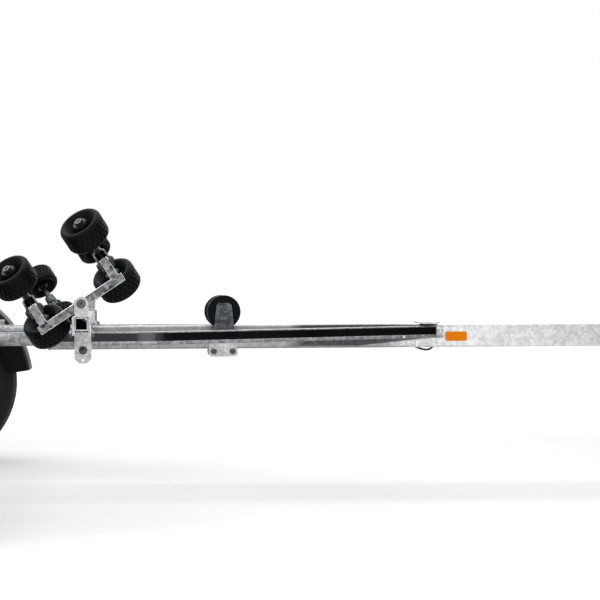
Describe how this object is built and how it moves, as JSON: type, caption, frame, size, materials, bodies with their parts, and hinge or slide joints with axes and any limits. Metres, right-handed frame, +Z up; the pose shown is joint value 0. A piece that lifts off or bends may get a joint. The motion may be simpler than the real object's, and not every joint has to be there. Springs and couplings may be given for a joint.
{
  "type": "boat trailer",
  "caption": "Single-axle roller boat trailer: tubular frame, rocking roller cradles, keel rollers, winch post, overrun coupling and jockey wheel.",
  "frame": {"origin": "on the floor, under the middle of the overall length and width", "axes": "+X to the nose, +Y to the left side, +Z up"},
  "size_m": [6.06, 2.13, 1.045],
  "materials": {
    "galvanised_steel": "satin",
    "zinc_plated_fittings": "satin",
    "roller_rubber": "matte",
    "tyre_rubber": "matte",
    "wheel_steel": "satin",
    "mudguard_plastic": "satin",
    "black_plastic": "satin",
    "cable_jacket": "matte",
    "lens_red": "gloss",
    "reflector_amber": "gloss",
    "winch_webbing": "woven"
  },
  "bodies": {
    "frame": {"axle_beam": "galvanised_steel", "beam_hangers": "galvanised_steel", "bow_stop": "roller_rubber", "brake_lever": "black_plastic", "cable_loop": "cable_jacket", "coupling_handle": "black_plastic", "coupling_head": "zinc_plated_fittings", "cradle_beams": "galvanised_steel", "cradle_carriers": "galvanised_steel", "cross_members": "galvanised_steel", "drawbar": "galvanised_steel", "drawshaft_gaiter": "roller_rubber", "jockey_clamp": "galvanised_steel", "junction_plate": "galvanised_steel", "keel_brackets": "galvanised_steel", "lamp_housings": "black_plastic", "lamp_lenses": "lens_red", "light_bar": "galvanised_steel", "mudguard_stays": "galvanised_steel", "mudguards": "mudguard_plastic", "overrun_housing": "galvanised_steel", "side_rails": "galvanised_steel", "side_reflectors": "reflector_amber", "trailing_arms": "galvanised_steel", "winch_frame": "zinc_plated_fittings", "winch_post": "galvanised_steel"},
    "wheel_left": {"rim_and_hub_left": "wheel_steel", "tyre_left": "tyre_rubber"},
    "wheel_right": {"rim_and_hub_right": "wheel_steel", "tyre_right": "tyre_rubber"},
    "keel_roller_front": {"keel_roller_front": "roller_rubber"},
    "keel_roller_rear": {"keel_roller_rear": "roller_rubber"},
    "rocker_front_left": {"rocker_front_left": "galvanised_steel"},
    "strap_front_left_fore": {"strap_front_left_fore": "zinc_plated_fittings"},
    "roller_pair_front_left_fore": {"roller_pair_front_left_fore": "roller_rubber"},
    "strap_front_left_aft": {"strap_front_left_aft": "zinc_plated_fittings"},
    "roller_pair_front_left_aft": {"roller_pair_front_left_aft": "roller_rubber"},
    "rocker_front_right": {"rocker_front_right": "galvanised_steel"},
    "strap_front_right_fore": {"strap_front_right_fore": "zinc_plated_fittings"},
    "roller_pair_front_right_fore": {"roller_pair_front_right_fore": "roller_rubber"},
    "strap_front_right_aft": {"strap_front_right_aft": "zinc_plated_fittings"},
    "roller_pair_front_right_aft": {"roller_pair_front_right_aft": "roller_rubber"},
    "rocker_rear_left": {"rocker_rear_left": "galvanised_steel"},
    "strap_rear_left_fore": {"strap_rear_left_fore": "zinc_plated_fittings"},
    "roller_pair_rear_left_fore": {"roller_pair_rear_left_fore": "roller_rubber"},
    "strap_rear_left_aft": {"strap_rear_left_aft": "zinc_plated_fittings"},
    "roller_pair_rear_left_aft": {"roller_pair_rear_left_aft": "roller_rubber"},
    "rocker_rear_right": {"rocker_rear_right": "galvanised_steel"},
    "strap_rear_right_fore": {"strap_rear_right_fore": "zinc_plated_fittings"},
    "roller_pair_rear_right_fore": {"roller_pair_rear_right_fore": "roller_rubber"},
    "strap_rear_right_aft": {"strap_rear_right_aft": "zinc_plated_fittings"},
    "roller_pair_rear_right_aft": {"roller_pair_rear_right_aft": "roller_rubber"},
    "winch_drum": {"winch_drum": "zinc_plated_fittings", "strap_coil": "winch_webbing"},
    "winch_crank": {"winch_crank": "zinc_plated_fittings"},
    "jockey_tube": {"jockey_tube": "zinc_plated_fittings"},
    "jockey_leg": {"jockey_leg": "zinc_plated_fittings"},
    "jockey_wheel": {"jockey_wheel": "black_plastic"}
  },
  "joints": [
    {"name": "wheel_left_spin", "type": "hinge", "parent": "frame", "child": "wheel_left", "pos_m": [-0.58, 0.95, 0.325], "axis": [0, 1, 0], "continuous": true},
    {"name": "wheel_right_spin", "type": "hinge", "parent": "frame", "child": "wheel_right", "pos_m": [-0.58, -0.95, 0.325], "axis": [0, 1, 0], "continuous": true},
    {"name": "keel_roller_front_spin", "type": "hinge", "parent": "frame", "child": "keel_roller_front", "pos_m": [0.509, 0, 0.614], "axis": [0, 1, 0], "continuous": true},
    {"name": "keel_roller_rear_spin", "type": "hinge", "parent": "frame", "child": "keel_roller_rear", "pos_m": [-2.855, 0, 0.629], "axis": [0, 1, 0], "continuous": true},
    {"name": "rocker_front_left_rock", "type": "hinge", "parent": "frame", "child": "rocker_front_left", "pos_m": [0.043, 0.8, 0.65], "axis": [0, 1, 0], "range_deg": [0, 66]},
    {"name": "strap_front_left_fore_tilt", "type": "hinge", "parent": "rocker_front_left", "child": "strap_front_left_fore", "pos_m": [0.11515, 0.8, 0.7684], "axis": [-0.8387, 0, -0.5446], "range_deg": [0, 114]},
    {"name": "roller_pair_front_left_fore_spin", "type": "hinge", "parent": "strap_front_left_fore", "child": "roller_pair_front_left_fore", "pos_m": [0.10092, 0.75974, 0.79033], "axis": [-0.4568, 0.5446, 0.7034], "continuous": true},
    {"name": "strap_front_left_aft_tilt", "type": "hinge", "parent": "rocker_front_left", "child": "strap_front_left_aft", "pos_m": [-0.09451, 0.8, 0.63224], "axis": [-0.8387, 0, -0.5446], "range_deg": [0, 114]},
    {"name": "roller_pair_front_left_aft_spin", "type": "hinge", "parent": "strap_front_left_aft", "child": "roller_pair_front_left_aft", "pos_m": [-0.10875, 0.75974, 0.65416], "axis": [-0.4568, 0.5446, 0.7034], "continuous": true},
    {"name": "rocker_front_right_rock", "type": "hinge", "parent": "frame", "child": "rocker_front_right", "pos_m": [0.043, -0.8, 0.65], "axis": [0, 1, 0], "range_deg": [0, 66]},
    {"name": "strap_front_right_fore_tilt", "type": "hinge", "parent": "rocker_front_right", "child": "strap_front_right_fore", "pos_m": [0.11515, -0.8, 0.7684], "axis": [0.8387, 0, 0.5446], "range_deg": [0, 114]},
    {"name": "roller_pair_front_right_fore_spin", "type": "hinge", "parent": "strap_front_right_fore", "child": "roller_pair_front_right_fore", "pos_m": [0.10092, -0.75974, 0.79033], "axis": [0.4568, 0.5446, -0.7034], "continuous": true},
    {"name": "strap_front_right_aft_tilt", "type": "hinge", "parent": "rocker_front_right", "child": "strap_front_right_aft", "pos_m": [-0.09451, -0.8, 0.63224], "axis": [0.8387, 0, 0.5446], "range_deg": [0, 114]},
    {"name": "roller_pair_front_right_aft_spin", "type": "hinge", "parent": "strap_front_right_aft", "child": "roller_pair_front_right_aft", "pos_m": [-0.10875, -0.75974, 0.65416], "axis": [0.4568, 0.5446, -0.7034], "continuous": true},
    {"name": "rocker_rear_left_rock", "type": "hinge", "parent": "frame", "child": "rocker_rear_left", "pos_m": [-2.48, 0.8, 0.65], "axis": [0, 1, 0], "range_deg": [0, 66]},
    {"name": "strap_rear_left_fore_tilt", "type": "hinge", "parent": "rocker_rear_left", "child": "strap_rear_left_fore", "pos_m": [-2.40785, 0.8, 0.7684], "axis": [-0.8387, 0, -0.5446], "range_deg": [0, 114]},
    {"name": "roller_pair_rear_left_fore_spin", "type": "hinge", "parent": "strap_rear_left_fore", "child": "roller_pair_rear_left_fore", "pos_m": [-2.42208, 0.75974, 0.79033], "axis": [-0.4568, 0.5446, 0.7034], "continuous": true},
    {"name": "strap_rear_left_aft_tilt", "type": "hinge", "parent": "rocker_rear_left", "child": "strap_rear_left_aft", "pos_m": [-2.61751, 0.8, 0.63224], "axis": [-0.8387, 0, -0.5446], "range_deg": [0, 114]},
    {"name": "roller_pair_rear_left_aft_spin", "type": "hinge", "parent": "strap_rear_left_aft", "child": "roller_pair_rear_left_aft", "pos_m": [-2.63175, 0.75974, 0.65416], "axis": [-0.4568, 0.5446, 0.7034], "continuous": true},
    {"name": "rocker_rear_right_rock", "type": "hinge", "parent": "frame", "child": "rocker_rear_right", "pos_m": [-2.48, -0.8, 0.65], "axis": [0, 1, 0], "range_deg": [0, 66]},
    {"name": "strap_rear_right_fore_tilt", "type": "hinge", "parent": "rocker_rear_right", "child": "strap_rear_right_fore", "pos_m": [-2.40785, -0.8, 0.7684], "axis": [0.8387, 0, 0.5446], "range_deg": [0, 114]},
    {"name": "roller_pair_rear_right_fore_spin", "type": "hinge", "parent": "strap_rear_right_fore", "child": "roller_pair_rear_right_fore", "pos_m": [-2.42208, -0.75974, 0.79033], "axis": [0.4568, 0.5446, -0.7034], "continuous": true},
    {"name": "strap_rear_right_aft_tilt", "type": "hinge", "parent": "rocker_rear_right", "child": "strap_rear_right_aft", "pos_m": [-2.61751, -0.8, 0.63224], "axis": [0.8387, 0, 0.5446], "range_deg": [0, 114]},
    {"name": "roller_pair_rear_right_aft_spin", "type": "hinge", "parent": "strap_rear_right_aft", "child": "roller_pair_rear_right_aft", "pos_m": [-2.63175, -0.75974, 0.65416], "axis": [0.4568, 0.5446, -0.7034], "continuous": true},
    {"name": "winch_drum_spin", "type": "hinge", "parent": "frame", "child": "winch_drum", "pos_m": [2.124, 0, 0.85], "axis": [0, 1, 0], "continuous": true},
    {"name": "winch_crank_spin", "type": "hinge", "parent": "frame", "child": "winch_crank", "pos_m": [2.16, 0, 0.9], "axis": [0, 1, 0], "continuous": true},
    {"name": "jockey_raise", "type": "slide", "parent": "frame", "child": "jockey_tube", "axis": [0, 0, 1], "range_m": [0, 0.2]},
    {"name": "jockey_swivel", "type": "hinge", "parent": "jockey_tube", "child": "jockey_leg", "pos_m": [2.405, 0.079, 0.26], "axis": [0, 0, 1], "continuous": true},
    {"name": "jockey_wheel_spin", "type": "hinge", "parent": "jockey_leg", "child": "jockey_wheel", "pos_m": [2.363, 0.079, 0.1], "axis": [0, 1, 0], "continuous": true}
  ],
  "couplings": [
    {"joint": "winch_crank_spin", "follows": "winch_drum_spin", "ratio": -4}
  ]
}
